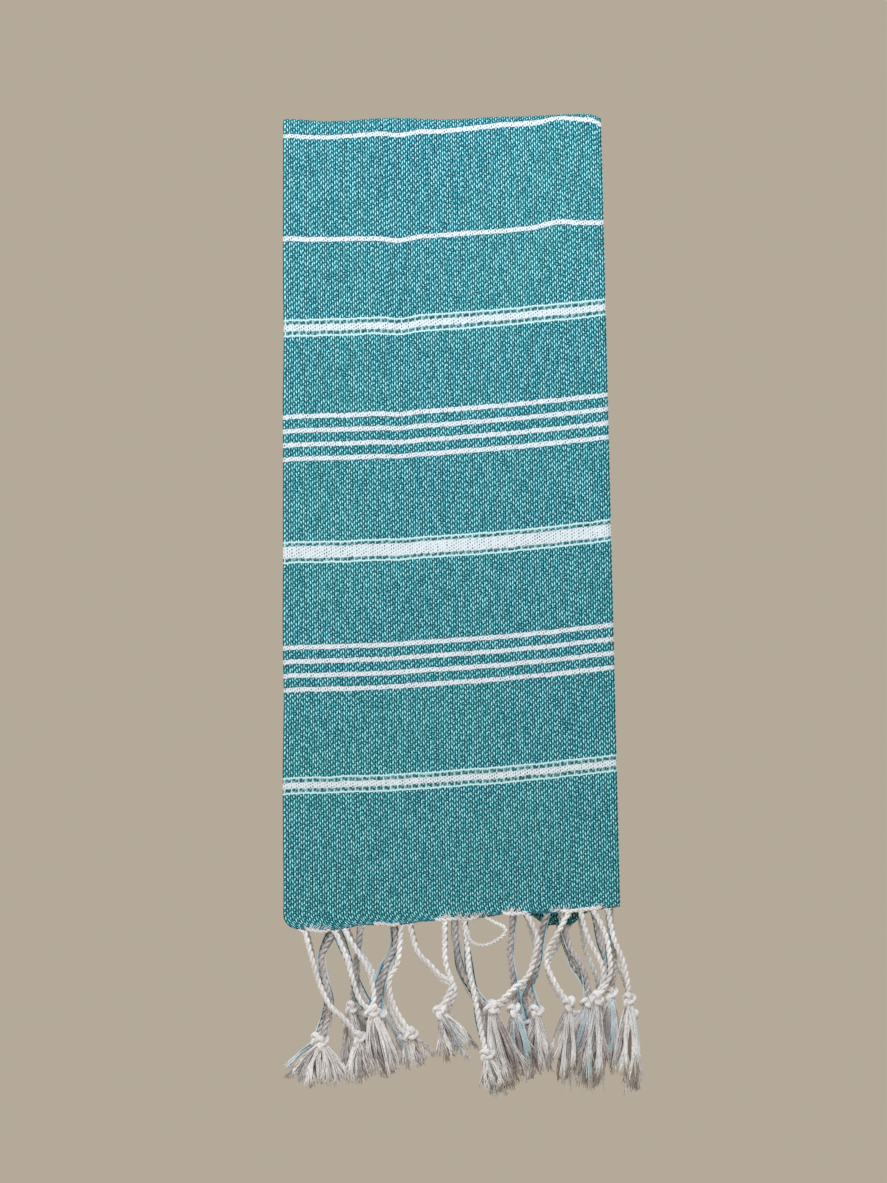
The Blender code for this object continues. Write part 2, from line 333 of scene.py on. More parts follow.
dot_row = maths(tree, "DIVIDE", along, DOT_STEP)
dot_row = maths(tree, "MULTIPLY_ADD", column_number, COLUMN_LAG, dot_row)
dot_chance = cell_chances(maths(tree, "FLOOR", dot_row)).outputs[0]
dot_up = fade(tree, maths(tree, "PINGPONG", dot_row, 0.5), DOT_UP)
dot_side = fade(tree, maths(tree, "ABSOLUTE", in_column), DOT_SIDE)
dots = maths(tree, "MULTIPLY", dot_up, dot_side)
dots = maths(tree, "MULTIPLY", dots, remap(tree, dot_chance, DOT_STRENGTH))

dash = maths(tree, "PINGPONG", maths(tree, "DIVIDE", across, DASH_COLUMNS * COLUMN), 0.5)
tick = maths(tree, "MULTIPLY", fade(tree, dash, TICK), remap(tree, chances[2], TICK_STRENGTH))
knots = maths(tree, "MULTIPLY", fade(tree, side_way, KNOT_SIDE), chances[1])
print("white stripes:", len(solid), "and thin lines:", 2 * len(BANDS))

# %% [markdown]
# ## Colour and relief
# The ground comes first, then flecks, gaps and white stripes, with a slow drift of shade over the cloth.
# Flecks and stripes stand about a tenth of a millimetre above the ground. Matte cotton has a high
# roughness and a little sheen.

# %% Weave material
FLECK_TEAL, FLECK_PALE = (0.0, 0.55), (0.38, 0.85)
FULL = (0.0, 1.0)

drift = add(tree, "TexNoise", {"noise_dimensions": "2D"}, {"Vector": uv, "Scale": 14.0, "Detail": 3.0})
shadow = mixed(tree, drift.outputs[0], "#00323E", "#004048")
floats = mixed(tree, drift.outputs[0], "#2387A6", "#34A09C")
ground = mixed(tree, teal_float, shadow, floats)
flecked = mixed(tree, remap(tree, fleck, FULL, FLECK_TEAL), ground, "#46AEBA")
flecked = mixed(tree, remap(tree, fleck, FULL, FLECK_PALE), flecked, "#B6FBFF")
dashes = mixed(tree, knots, "#14585E", "#86C4C6")
ticked = mixed(tree, tick, dashes, "#D2F8FA")
in_gaps = mixed(tree, gaps, flecked, ticked)
dotted = mixed(tree, dots, "#E8F3F8", "#2A5260")
lined = mixed(tree, thin, in_gaps, "#CDF3F5")
striped = mixed(tree, white, lined, dotted)

raised = maths(tree, "MAXIMUM", fleck, together([white, thin]))
raised = maths(tree, "SUBTRACT", raised, dots)
relief = add(tree, "Bump", None, {"Strength": 0.3, "Distance": 0.15 * MM, "Height": raised})
finish = {
    "Base Color": striped,
    "Normal": relief.outputs[0],
    "Roughness": 0.88,
    "Sheen Weight": 0.08,
    "Sheen Roughness": 0.5,
    "Specular IOR Level": 0.12,
}
fill(tree, shader, finish)
print("weave material has", len(tree.nodes), "nodes")

# %% [markdown]
# ## Cotton for the cords
# The cords and brushes are the undyed warp: off-white carded cotton, matte, with fine fibres along each
# strand. Some yarns are pale blue, teal or sky blue. The grey finish is painted shade: a darker copy of
# the undyed cotton for the inner cords, which hang in shadow behind the outer ones, and for darker locks
# that stand for the shadow between the brush's yarns. Noise on Object coordinates gives each strand its
# small changes of tone, and the five finishes differ only in their two colours.


# %% Cord materials
FIBRE_SCALE, FIBRE_DETAIL = 900.0, 3.0
PATCH_SCALE, PATCH_DETAIL = 70.0, 2.0
SHADE_RANGE = (0.12, 0.38)


def cotton(name, light, dark):
    """Undyed or tinted carded cotton."""
    made, cord_tree, cord_shader = new_material(name)
    coords = add(cord_tree, "TexCoord").outputs["Object"]
    fibres, patches = [
        add(cord_tree, "TexNoise", None, {"Vector": coords, "Scale": scale, "Detail": detail}).outputs[0]
        for scale, detail in ((FIBRE_SCALE, FIBRE_DETAIL), (PATCH_SCALE, PATCH_DETAIL))
    ]
    shade = remap(cord_tree, maths(cord_tree, "MULTIPLY", fibres, patches), FULL, SHADE_RANGE)
    bump = add(cord_tree, "Bump", None, {"Strength": 0.5, "Distance": 0.15 * MM, "Height": fibres})
    finish = {
        "Base Color": mixed(cord_tree, shade, dark, light),
        "Normal": bump.outputs[0],
        "Roughness": 0.92,
        "Sheen Weight": 0.35,
        "Specular IOR Level": 0.2,
    }
    fill(cord_tree, cord_shader, finish)
    return made


COTTONS = [
    cotton("undyed_cotton", "#FFFFFF", "#D2CDCB"),
    cotton("pale_blue_cotton", "#E4F1F5", "#BAD3DB"),
    # A darker copy of the undyed cotton: painted shade for the inner cords and the brushes.
    cotton("shaded_grey_cotton", "#DCD5D6", "#9C9391"),
    cotton("teal_cotton", "#2E8C9C", "#14586A"),
    cotton("sky_blue_cotton", "#7CC9DC", "#3F93B4"),
]
UNDYED, PALE_BLUE, SHADED_GREY, TEAL, SKY = range(5)
print("cotton finishes:", [made.name for made in COTTONS])

# %% [markdown]
# ## The cloth
# The towel is one sheet, so it is modelled as one grid: across it runs from the front selvage of the
# outer layer, round the side fold, to the selvage of the inner layer, and along it runs from the front
# hem, over the rail, to the rear hem. Each point of the flat grid is moved to its folded place, and its
# UV keeps the flat place. Cloth that hangs this straight needs no simulation: a slow swell, a
# pressed crease along its length and wavy threads are enough, and they stay the same on each run.

# %% Cloth sizes
SHEET_THICKNESS = 0.95 * MM
OUTER_STEPS, FOLD_STEPS, INNER_STEPS = 62, 8, 34
CREST_STEPS, STRAIGHT_STEPS, HEM_STEPS = 9, 138, 10
CREST_SHARE, HEM_SHARE = 0.024, 0.979
CORNER_RADIUS = 9.5 * MM
# How far the side fold stands out against half its gap, and the cloth it takes up round its half turn.
FOLD_BULGE = 1.4
FOLD_ARC = (1 + FOLD_BULGE) / 2 * math.pi * LAYER_STEP
CREASE_X, CREASE_WIDTH = -27 * MM, 5 * MM
EDGE_WANDER = 0.8 * MM
SWELL_SEED = {"front": 3.0, "rear": 11.0}
# The top edge's height against the frame's crest, in millimetres: (across, up).
CREST_WAVE = [(-98, -2.8), (-72, -4.2), (-31, -2.2), (0, -3.2), (42, -1.4), (84, 0.2), (92, 0.2), (98, -2.6)]
# Each hem's wander, in millimetres: (across, down).
HEM_WAVE = {
    "front": [
        *((-98, 0), (-68, 2.2), (-50, 0.4), (-29, 1.4), (-2, 0.4)),
        *((20, 0.8), (40, -0.6), (66, 0.7), (108, 0)),
    ],
    "rear": [(-98, 0), (-40, -2), (0, -6), (40, -7), (54, -6), (65, 0), (78, 0), (92, -9), (108, -12)],
}


def smooth_between(wave, x):
    """A smooth curve through a wave's points, in metres."""
    places = [point[0] * MM for point in wave]
    heights = [point[1] * MM for point in wave]
    after = int(np.clip(np.searchsorted(places, x), 1, len(places) - 1))
    share = np.clip((x - places[after - 1]) / (places[after] - places[after - 1]), 0, 1)
    share = share * share * (3 - 2 * share)
    return heights[after - 1] + (heights[after] - heights[after - 1]) * share


def ramp(value, low, high):
    """0 below low, 1 above high, and smooth between them."""
    share = min(max((value - low) / (high - low), 0), 1)
    return share * share * (3 - 2 * share)


print("the side fold takes up", round(FOLD_ARC / MM, 1), "mm of cloth")

# %% [markdown]
# ## The grid
# The grid's points lie closer together where the cloth bends, round the side fold and over the rail,
# and where its edge waves, at the hems.


# %% Grid steps
def across_steps():
    """Each grid column's share of the way to the side fold, its layer's offset, its bulge and its u."""
    half = (CUT_WIDTH - FOLD_ARC) / 2
    steps = [(n / OUTER_STEPS, LAYER_STEP, 0.0, half * n / OUTER_STEPS) for n in range(OUTER_STEPS + 1)]
    for n in range(1, FOLD_STEPS):
        turn = math.pi * n / FOLD_STEPS
        bulge = FOLD_BULGE * LAYER_STEP * math.sin(turn)
        steps.append((1.0, LAYER_STEP * math.cos(turn), bulge, half + FOLD_ARC * n / FOLD_STEPS))
    steps += [
        (1 - n / INNER_STEPS, -LAYER_STEP, 0.0, CUT_WIDTH - half * (1 - n / INNER_STEPS))
        for n in range(INNER_STEPS + 1)
    ]
    return steps


def along_steps():
    """Each grid row's share of the way from the crest to its hem: below 0 on the front."""
    crest = [CREST_SHARE * n / CREST_STEPS for n in range(CREST_STEPS)]
    straight = [CREST_SHARE + (HEM_SHARE - CREST_SHARE) * n / STRAIGHT_STEPS for n in range(STRAIGHT_STEPS)]
    hem = [HEM_SHARE + (1 - HEM_SHARE) * n / HEM_STEPS for n in range(HEM_STEPS + 1)]
    down = crest + straight + hem
    return [-share for share in reversed(down[1:])] + down


print("grid of", len(across_steps()), "by", len(along_steps()), "points")

# %% [markdown]
# ## Folding a point
# A point of the flat sheet is folded sideways round the side fold and lengthwise over the rail. Then
# it takes the leaf's swell, the crease and the waves of the crest and the hem.


# %% Folding the sheet
def swell(side, x, z, share):
    """How far a leaf swells outwards: slow waves, the pressed crease and a looser hem."""
    seed = SWELL_SEED[side]
    slow = noise.noise(Vector((x / 0.075, z / 0.16, seed)))
    quick = noise.noise(Vector((x / 0.03, z / 0.06, seed + 5)))
    crease = math.exp(-(((x - CREASE_X) / CREASE_WIDTH) ** 2)) * (1 - 0.7 * share)
    hem = ramp(share, 0.8, 1.0) * noise.noise(Vector((x / 0.035, z / 0.3, seed + 9)))
    return (1.3 * slow + 0.25 * quick + 0.9 * crease + 1.6 * hem) * MM * ramp(share, 0.02, 0.12)


def hem_line(side, x):
    """Height of a hem at x, with its wander."""
    return hem_z(side, x) - smooth_between(HEM_WAVE[side], x)


def corner_pull(share):
    """How far the side fold is drawn in where it rounds into the hem."""
    leaf = HEM["front"][0][1]
    turn = min(max(1 - (1 - share) * -leaf / CORNER_RADIUS, 0), 1)
    return CORNER_RADIUS * (1 - math.sqrt(1 - turn * turn))


def fold_place(share_across, offset, bulge, share_along):
    """Where a point of the flat sheet hangs, how far down its leaf it is, and the leaf's length."""
    side = "front" if share_along < 0 else "rear"
    share = abs(share_along)
    right = TOP_RIGHT + (HEM[side][1][0] - TOP_RIGHT) * share
    left = LEFT + corner_pull(share) + EDGE_WANDER * noise.noise(Vector((0, share * 9, 2 + OUTWARD[side])))
    x = right + (left - right) * share_across - bulge
    quarter = LEAF_RADIUS * math.pi / 2
    down = share * (quarter - hem_line(side, x) + FOLD_Z)
    leaf = quarter - hem_z(side, x) + FOLD_Z
    radius = LEAF_RADIUS + offset
    if down < quarter:
        turn = down / LEAF_RADIUS
        y, z = radius * math.sin(turn), FOLD_Z + radius * math.cos(turn)
    else:
        y, z = radius, FOLD_Z - (down - quarter)
    z += smooth_between(CREST_WAVE, x) * (1 - ramp(share, 0.0, 0.09))
    y += swell(side, x, z, share)
    return Vector((x, OUTWARD[side] * y, z)), down, leaf


print("the crest's middle is at", [round(v, 4) for v in fold_place(0.5, LAYER_STEP, 0.0, 0.0)[0]])

# %% [markdown]
# ## Threads that hang
# The weft doesn't run straight across the towel: it sags in the middle, dips at the crease and turns up
# or down near the edges. The stripes follow it.


# %% Thread lines
def thread_shift(x, height):
    """How far, in metres, the weft hangs below straight lines at x and at a height above the hem."""
    x, height = x / MM, height / MM
    middle = 1 - min(abs(x - 4) / 100, 1) ** 2.2
    sag = 2.7 * middle * ramp(height, 0, 70) * (1 - 1.1 * ramp(height, 430, 492))
    dip = 1.9 * math.exp(-(((x + 27) / 8) ** 2)) * ramp(height, 120, 480)
    lift = 2.4 * math.exp(-(((x - 72) / 11) ** 2)) * ramp(height, 380, 430)
    left_rise = 4.2 * math.exp(-(x + 98) / 38) * ramp(height, 360, 495)
    ends = 1.5 * (0.4 * math.exp(-abs(x + 98) / 3) + math.exp(-abs(x - 98) / 7) * ramp(height, 340, 420))
    top = ramp(height, 430, 492) * (1.0 + 1.6 * ramp(x, 30, 75))
    wander = 0.35 * noise.noise(Vector((x / 24, height / 90, 7)))
    return (sag + dip - lift - left_rise + ends + top + wander) * MM


print("the weft sags", round(thread_shift(0, 200 * MM) / MM, 1), "mm at mid height")

# %% [markdown]
# ## Building the sheet
# The grid is folded, keeps its flat places as UVs, and then gets its thickness.

# %% Build the cloth
# A share along the sheet that is only just on the front leaf, and the stretch below the crest over
# which the rear leaf's threads turn to hang the same way as the front's.
JUST_FRONT = -1e-9
TURN_START, TURN_END, TURN_SHARE = 5 * MM, 80 * MM, 1.6


def build_cloth():
    """The folded sheet with its flat UVs, thickened."""
    columns, rows = across_steps(), along_steps()
    mesh = bpy.data.meshes.new("cloth")
    shape = bmesh.new()
    uv_layer = shape.loops.layers.uv.new("Weave")
    bmesh.ops.create_grid(shape, x_segments=len(columns) - 1, y_segments=len(rows) - 1, size=1.0)
    flat = {}
    for vertex in shape.verts:
        column = round((vertex.co.x + 1) / 2 * (len(columns) - 1))
        row = round((vertex.co.y + 1) / 2 * (len(rows) - 1))
        share_across, offset, bulge, u = columns[column]
        place, down, leaf = fold_place(share_across, offset, bulge, rows[row])
        if rows[row] < 0:
            v, way = leaf - down, 1
        else:
            crest = fold_place(share_across, offset, bulge, JUST_FRONT)[2]
            v = crest + (CUT_LENGTH - crest) * down / leaf
            way = 1 - TURN_SHARE * ramp(down, TURN_START, TURN_END)
        flat[vertex.index] = (u, v + way * thread_shift(place.x, leaf - down))
        vertex.co = place
    for face in shape.faces:
        for loop in face.loops:
            loop[uv_layer].uv = flat[loop.vert.index]
    bmesh.ops.recalc_face_normals(shape, faces=shape.faces)
    shape.to_mesh(mesh)
    shape.free()
    mesh.materials.append(weave)
    cloth = bpy.data.objects.new("towel_cloth", mesh)
    bpy.context.collection.objects.link(cloth)
    wall = cloth.modifiers.new("cloth thickness", "SOLIDIFY")
    wall.thickness = SHEET_THICKNESS
    wall.offset = 0
    bpy.context.view_layer.update()
    graph = bpy.context.evaluated_depsgraph_get()
    thick = bpy.data.meshes.new_from_object(cloth.evaluated_get(graph))
    cloth.modifiers.clear()
    cloth.data = thick
    cloth.data.shade_smooth()
    return cloth


cloth = build_cloth()
print("cloth has", len(cloth.data.polygons), "faces")

# %% [markdown]
# ## Curves for cords and yarns
# A twisted cord is two strands that wind round each other, and a brush is a few dozen loose yarns. Both
# are tubes along paths, so one curve object holds all the splines of a tassel and becomes one mesh.
# The route of a cord is drawn smoothly through a few chosen points, then cut into equal short steps, and
# a frame that never spins is carried along it so that the strands wind evenly.

# %% Strand paths
CORD_RADIUS = 1.7 * MM
STRAND_RADIUS = 0.98 * MM
TWIST_LENGTH = 8.8 * MM
YARN_RADIUS = 0.34 * MM
CURVE_POINTS = 16
WELD = 0.001 * MM
rng = random.Random(17)


def smooth_route(points, step):
    """A Catmull-Rom curve through points, cut into equal steps."""
    knots = np.array([points[0], *points, points[-1]], dtype=float)
    dense = []
    for first in range(len(points) - 1):
        p0, p1, p2, p3 = knots[first : first + 4]
        for t in np.linspace(0, 1, CURVE_POINTS, endpoint=False):
            dense.append(
                0.5
                * (
                    2 * p1
                    + (p2 - p0) * t
                    + (2 * p0 - 5 * p1 + 4 * p2 - p3) * t**2
                    + (3 * p1 - p0 - 3 * p2 + p3) * t**3
                )
            )
    dense.append(knots[-1])
    dense = np.array(dense)
    run = np.concatenate([[0], np.cumsum(np.linalg.norm(np.diff(dense, axis=0), axis=1))])
    places = np.linspace(0, run[-1], max(3, int(run[-1] / step) + 1))
    return np.stack([np.interp(places, run, dense[:, axis]) for axis in range(3)], axis=1)


def carried_frames(route):
    """Two directions across the route at each of its points, which don't spin round it."""
    ahead = np.gradient(route, axis=0)
    ahead /= np.linalg.norm(ahead, axis=1)[:, None]
    side = np.cross(ahead[0], (0, 1, 0))
    sides = []
    for direction in ahead:
        side = side - direction * np.dot(side, direction)
        side /= np.linalg.norm(side)
        sides.append(side)
    sides = np.array(sides)
    return sides, np.cross(ahead, sides)


def twisted(route, radius, pitch, start=0.0):
    """The paths of two strands that wind round a route."""
    sides, ups = carried_frames(route)
    step = np.linalg.norm(route[1] - route[0])
    turn = start + 2 * math.pi * np.arange(len(route)) * step / pitch
    paths = []
    for opposite in (0.0, math.pi):
        angle = turn + opposite
        paths.append(route + radius * (np.cos(angle)[:, None] * sides + np.sin(angle)[:, None] * ups))
    return paths


print("a cord is", round(2 * CORD_RADIUS / MM, 1), "mm thick, wound once in", round(TWIST_LENGTH / MM, 1))

# %% [markdown]
# ## Tubes and meshes
# The paths become round tubes, and the tubes of one piece become one mesh.


# %% Tube helpers
def new_tubes(name, resolution):
    """A curve object's data whose splines have a round section of one metre, scaled at each point."""
    tubes = bpy.data.curves.new(name, "CURVE")
    tubes.dimensions = "3D"
    tubes.bevel_depth = 1.0
    tubes.bevel_resolution = resolution
    tubes.use_fill_caps = True
    for made in COTTONS:
        tubes.materials.append(made)
    return tubes


def add_tube(tubes, path, radii, finish, closed=False):
    """Adds one tube along a path."""
    spline = tubes.splines.new("POLY")
    spline.points.add(len(path) - 1)
    flat = np.ones((len(path), 4))
    flat[:, :3] = path
    spline.points.foreach_set("co", flat.ravel())
    spline.points.foreach_set("radius", np.broadcast_to(radii, len(path)).astype(float))
    spline.material_index = finish
    spline.use_cyclic_u = closed


def as_mesh(name, curves):
    """One mesh object from several curve datas, with welded caps."""
    shape = bmesh.new()
    for tubes in curves:
        guide = bpy.data.objects.new("guide", tubes)
        bpy.context.collection.objects.link(guide)
        bpy.context.view_layer.update()
        part = bpy.data.meshes.new_from_object(guide.evaluated_get(bpy.context.evaluated_depsgraph_get()))
        shape.from_mesh(part)
        bpy.data.objects.remove(guide, do_unlink=True)
        bpy.data.meshes.remove(part)
    bmesh.ops.remove_doubles(shape, verts=shape.verts, dist=WELD)
    mesh = bpy.data.meshes.new(name)
    shape.to_mesh(mesh)
    shape.free()
    for made in COTTONS:
        mesh.materials.append(made)
    mesh.shade_smooth()
    made = bpy.data.objects.new(name, mesh)
    bpy.context.collection.objects.link(made)
    return made


print("tubes can have", len(COTTONS), "finishes")


# %% [markdown]
# ## The tassels' routes
# Each tassel's cords leave the hem, cross their neighbours and meet in a knot, and a brush hangs from
# the knot. The routes are the frame's own: points in millimetres across from the towel's middle and
# down from the hem.

# %% Routes
OUTER_TASSELS = [
    {
        "cords": [[(-86, 0), (-81, 20), (-77, 34), (-70, 49), (-61, 58)]],
        "knot": (-52, 70),
        "tip": (-50, 96),
        "half": 6,
    },
    {
        "cords": [
            [(-61, 0), (-57, 10), (-51, 20), (-46, 30), (-43, 43)],
            [(-67, 0), (-60, 20), (-52, 46)],
        ],
        "knot": (-44, 54),
        "tip": (-34, 92),
        "half": 6,
    },
    {
        "cords": [[(-26, 0), (-28, 24), (-33, 34), (-33, 43), (-29, 55)]],
        "knot": (-20, 70),
        "tip": (-14, 88),
        "half": 6,
    },
    {
        "cords": [
            [(1, 0), (1, 23), (3, 33), (6, 41), (3, 49)],
            [(-21, 0), (-16, 19), (-9, 27), (-2, 35), (5, 41)],
        ],
        "knot": (-2, 57),
        "tip": (8, 83),
        "half": 7,
    },
    {
        "cords": [[(13, 0), (15, 18), (16, 33), (19, 47), (24, 74)]],
        "knot": (27, 86),
        "tip": (31, 105),
        "half": 5,
    },
    {
        "cords": [[(52, 0), (57, 12), (58, 20), (53, 38), (45, 45), (36, 53)]],
        "knot": (30, 57),
        "tip": (43, 102),
        "half": 6,
    },
    {
        "cords": [[(78, 0), (70, 15), (65, 23), (64, 32), (68, 42), (73, 51)]],
        "knot": (78, 58),
        "tip": (74, 100),
        "half": 6,
    },
    {
        "cords": [
            [(85, 0), (89, 16), (93, 25), (98, 35), (99, 45)],
            [(93, 0), (98, 11), (102, 23), (103, 42)],
        ],
        "knot": (95, 56),
        "tip": (93, 102),
        "half": 7,
    },
    {
        "cords": [[(102, 0), (105.5, 19), (111, 33), (114, 46)]],
        "knot": (115, 58),
        "tip": (113, 104),
        "half": 5,
    },
]
INNER_TASSELS = [
    {
        "cords": [[(-67, 0), (-75, 17), (-75, 27), (-72, 38), (-70, 50), (-73, 63)]],
        "knot": (-75, 72),
        "tip": (-78, 97),
        "half": 12,
    },
    {"cords": [[(-51, 0), (-54, 22), (-56, 40)]], "knot": (-57, 52), "tip": (-54, 92), "half": 5},
    {
        "cords": [[(-30, 0), (-30, 16), (-35, 26), (-38, 37), (-40, 48)]],
        "knot": (-40, 57),
        "tip": (-37, 90),
        "half": 6,
    },
    {"cords": [[(7, 0), (9, 24), (14, 38), (22, 51)]], "knot": (29, 58), "tip": (35, 98), "half": 5},
    {
        "cords": [[(43, 0), (42, 16), (41, 22), (42, 31), (44, 48)]],
        "knot": (44, 60),
        "tip": (49, 92),
        "half": 5,
    },
    {
        "cords": [[(64, 0), (60, 17), (59, 30), (56, 38), (53, 45), (55, 53)]],
        "knot": (58, 62),
        "tip": (61, 95),
        "half": 4,
    },
    {"cords": [[(73, 0), (79, 24), (84, 32), (89, 44)]], "knot": (90, 58), "tip": (84, 98), "half": 6},
    {"cords": [[(103, 0), (106, 25), (106, 42)]], "knot": (104, 54), "tip": (103, 100), "half": 6},
]
ROUTES = {"outer": OUTER_TASSELS, "inner": INNER_TASSELS}
BUNCHES = {node: body for body, nodes in frame["record"]["behaviour"]["bodies"].items() for node in nodes}
print("tassels on each leaf:", len(OUTER_TASSELS) + len(INNER_TASSELS))

# %% [markdown]
# ## A tassel
# A tassel is built from the hem down. Thin warp yarns gather from the hem into the top of the cord. The
# cord is two strands, wound once in about 9 mm, with a few dyed yarns laid beside it. The knot is
# an overhand knot, drawn as a fat strand along a trefoil, which is the closed form of that knot. The
# brush is loose yarns in flat locks, each yarn with its own small crinkle.

# %% Tassel sizes and places
ROUTE_STEP = 0.7 * MM
STRAND_OVERLAP = 0.15 * MM
GATHER_YARNS = 10
KNOT_SIZE, KNOT_POINTS = 3.3 * MM, 44
LOCK_YARNS, LOCK_WIDTH = 14, 1.25 * MM
BRUSH_POINTS = 11
BRUSH_WIDEN = 1.5
BRUSH_DEPTH = 2.4 * MM
NARROWEST = 6.2 * MM
BRUSH_LONGER = 3 * MM
# About one turn, in radians, for the brush's crinkles.
ROUND = 6.28
REAR_SWAY = (5, -4, 6, -6, 4)


def at_hem(side, across_mm, down_mm):
    """A route's point as x and z in metres."""
    x = across_mm * MM
    hem = hem_z(side, x) if down_mm > 0 else hem_line(side, x) - 0.8 * MM
    return x, hem - down_mm * MM


def swayed(points, sway):
    """A tassel's points swung sideways from the hem, as the rear fringe hangs a little differently."""
    return [(across_mm + sway * ramp(down_mm, 0, 90), down_mm) for across_mm, down_mm in points]


def cord_route(side, layer, points, lean):
    """The cord's smooth route, from its own layer's hem out to its row."""
    start_y, row_y = LAYER_Y[side, layer], ROW_Y[side, layer]
    placed = []
    for across_mm, down_mm in points:
        x, z = at_hem(side, across_mm, down_mm)
        share = ramp(down_mm, 0.0, 14.0)
        placed.append((x, start_y + (row_y - start_y) * share + lean * share * MM, z))
    return smooth_route(placed, ROUTE_STEP)


print("a route's points lie", round(ROUTE_STEP / MM, 1), "mm apart")

# %% [markdown]
# ## Cord and gathered yarns
# The cord's strands, the dyed yarns beside it, and the warp yarns that draw together into it.


# %% Cord pieces
def add_cord(strands, route, finish):
    """Two strands that wind round the cord's route."""
    start = rng.uniform(0, 2 * math.pi)
    paths = twisted(route, CORD_RADIUS - STRAND_RADIUS + STRAND_OVERLAP, TWIST_LENGTH, start=start)
    for path in paths:
        add_tube(strands, path, STRAND_RADIUS, finish)


def add_dyed_yarns(yarns, side, route, finishes):
    """Thin dyed warp yarns that hang beside a cord."""
    sides, _ = carried_frames(route)
    way = rng.choice((-1, 1))
    for number, finish in enumerate(finishes):
        off = way * (1.5 + 0.55 * number) * MM
        wave = 0.5 * MM * np.sin(np.arange(len(route)) * 0.12 + rng.uniform(0, 6))
        path = route + sides * (off + wave)[:, None] + np.array((0, -OUTWARD[side] * 0.9 * MM, 0))
        for half_turn in twisted(path[::2], 0.22 * MM, 3.2 * MM):
            add_tube(yarns, half_turn, 0.30 * MM, finish)


def add_gather(yarns, side, route):
    """Warp yarns that run along the hem and draw together into the cord."""
    root = route[0]
    for number in range(GATHER_YARNS):
        reach = rng.uniform(1.0, 4.0) * MM * (1 if number % 2 else -1)
        start_x = root[0] + reach
        start_z = hem_line(side, start_x) + rng.uniform(-0.4, 0.8) * MM
        path = [
            (start_x, root[1] + OUTWARD[side] * 0.5 * MM, start_z),
            (root[0] + reach * 0.4, root[1] + OUTWARD[side] * 0.7 * MM, root[2] - 0.6 * MM),
            (root[0] + rng.uniform(-0.8, 0.8) * MM, root[1], root[2] - 2.2 * MM),
            (route[7][0] + rng.uniform(-0.5, 0.5) * MM, route[7][1], route[7][2]),
        ]
        add_tube(yarns, smooth_route(path, 1.3 * MM), YARN_RADIUS, UNDYED)


print("yarns gathered into a cord:", GATHER_YARNS)

# %% [markdown]
# ## Knot and brush
# Below the cord come its knot and the loose yarns of its brush.


# %% Knot and brush
def add_knot(strands, centre, size):
    """An overhand knot: a thick strand along a flattened trefoil."""
    turn = np.linspace(0, 2 * math.pi, KNOT_POINTS, endpoint=False)
    path = np.stack(
        [
            size * (np.sin(turn) + 2 * np.sin(2 * turn)) / 3,
            -0.55 * size * np.sin(3 * turn),
            1.25 * size * (np.cos(turn) - 2 * np.cos(2 * turn)) / 3,
        ],
        axis=1,
    )
    spin = np.array(Matrix.Rotation(rng.uniform(0, 2 * math.pi), 3, "Y"))
    for off in (-1, 1):
        shift = np.array((0.42 * off * size / 3, 0.3 * off * size / 3, 0.42 * off * size / 3))
        add_tube(strands, path @ spin.T + centre + shift, 0.34 * size, UNDYED, closed=True)


def add_brush(yarns, start, tip, half, depth, finishes):
    """Loose yarns in flat locks that spread from the knot."""
    ahead = (tip - start) / np.linalg.norm(tip - start)
    length = np.linalg.norm(tip - start) + BRUSH_LONGER
    side = np.cross(ahead, (0, 1, 0))
    side /= np.linalg.norm(side)
    out = np.array((0.0, 1.0, 0.0))
    half = max(half, NARROWEST) * BRUSH_WIDEN
    locks = max(5, round(half / LOCK_WIDTH))
    for lock in range(locks):
        spread = -1 + 2 * (lock + 0.5) / locks + rng.uniform(-0.15, 0.15)
        lock_depth = rng.uniform(-0.8, 0.8)
        lock_length = rng.uniform(0.80, 1.04) * (1 - 0.12 * spread * spread)
        lock_bend = rng.uniform(-2.4, 2.4) * MM
        finish = rng.choices(finishes[0], finishes[1])[0]
        for _ in range(LOCK_YARNS):
            waves, phase, phase_2 = rng.uniform(0.7, 2.2), rng.uniform(0, ROUND), rng.uniform(0, ROUND)
            crinkle = rng.uniform(0.20, 0.95) * MM
            hook = rng.uniform(-2.2, 2.2) * MM if rng.random() < 0.35 else 0.0
            begin = (rng.uniform(-1.8, 1.8) * MM, rng.uniform(-1.6, 1.6) * MM)
            end = (spread * half + rng.gauss(0, 0.48) * MM, lock_depth * depth + rng.gauss(0, 0.45) * MM)
            run = length * lock_length * rng.uniform(0.88, 1.02)
            path = []
            for t in np.linspace(0, 1, BRUSH_POINTS):
                open_out = 1 - (1 - t) ** 1.35
                swing = crinkle * t * math.sin(ROUND * waves * t + phase)
                across = begin[0] * (1 - t) + end[0] * open_out + lock_bend * math.sin(math.pi * t) + swing
                across += hook * t**4
                deep = begin[1] * (1 - t) + end[1] * open_out
                deep += crinkle * t * math.sin(ROUND * waves * t + phase_2)
                path.append(start + ahead * run * t + side * across + out * deep)
            radii = YARN_RADIUS * np.linspace(1.15, 0.75, BRUSH_POINTS) * rng.uniform(0.8, 1.15)
            # A few stray yarns are undyed or grey; the grey is painted shade.
            own = finish if rng.random() > 0.12 else rng.choice((UNDYED, SHADED_GREY))
            add_tube(yarns, np.array(path), radii, own)


print("a brush has at least", max(5, round(NARROWEST * BRUSH_WIDEN / LOCK_WIDTH)) * LOCK_YARNS, "yarns")

# %% [markdown]
# ## One whole tassel
# Each tassel is one mesh that rides on its bunch and takes the place of its frame node.

